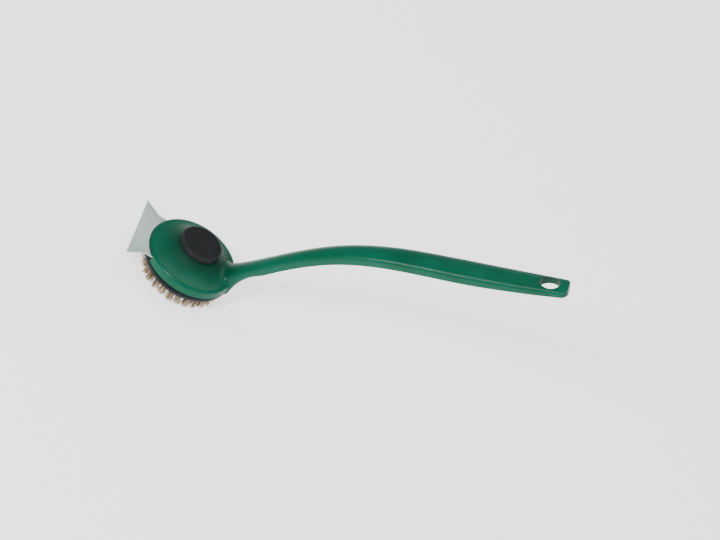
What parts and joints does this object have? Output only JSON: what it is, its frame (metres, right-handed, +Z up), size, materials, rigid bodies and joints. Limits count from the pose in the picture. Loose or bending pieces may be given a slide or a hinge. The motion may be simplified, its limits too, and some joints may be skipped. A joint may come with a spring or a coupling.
{
  "type": "grill cleaning brush",
  "caption": "Long goose-neck grill cleaning brush with a round head, wire tufts, a fishtail scraper blade and a screw-down palm knob.",
  "frame": {"origin": "centre of the bristle tips, in the plane they rest on", "axes": "+Z up along the round head's axis, towards the knob; +X from the head towards the handle's tail; the scraper points to -X"},
  "size_m": [0.3865, 0.097, 0.2434],
  "materials": {
    "green_plastic": "fine moulded grain, satin",
    "blade_steel": "satin rolled sheet",
    "screw_steel": "zinc plated",
    "block_black": "satin",
    "insert_brass": "turned",
    "anchor_wire": "drawn wire",
    "tuft_brass": "drawn wire, crimped",
    "knob_black": "satin",
    "cap_black": "matt, fine grain",
    "bolt_steel": "zinc plated",
    "washer_steel": "zinc plated"
  },
  "bodies": {
    "brush": {"handle": "green_plastic", "scraper": "blade_steel", "scraper_screws": "screw_steel", "brush_block": "block_black", "block_insert": "insert_brass", "tuft_anchors": "anchor_wire", "tufts_centre": "tuft_brass", "tufts_ring_1": "tuft_brass", "tufts_ring_2": "tuft_brass", "tufts_ring_3": "tuft_brass", "tufts_ring_4": "tuft_brass"},
    "washers": {"knob_washer": "washer_steel", "spring_washer": "washer_steel"},
    "palm_knob": {"knob": "knob_black", "knob_cap": "cap_black", "knob_bolt": "bolt_steel"}
  },
  "joints": [
    {"name": "knob_lift", "type": "slide", "parent": "brush", "child": "washers", "axis": [0, 0, 1], "range_m": [0, 0.006]},
    {"name": "knob_turn", "type": "hinge", "parent": "washers", "child": "palm_knob", "pos_m": [0, 0, 0.0432], "axis": [0, 0, 1], "range_deg": [0, 2160]}
  ],
  "couplings": [
    {"joint": "knob_turn", "follows": "knob_lift", "rad_per_m": 6283.2}
  ]
}
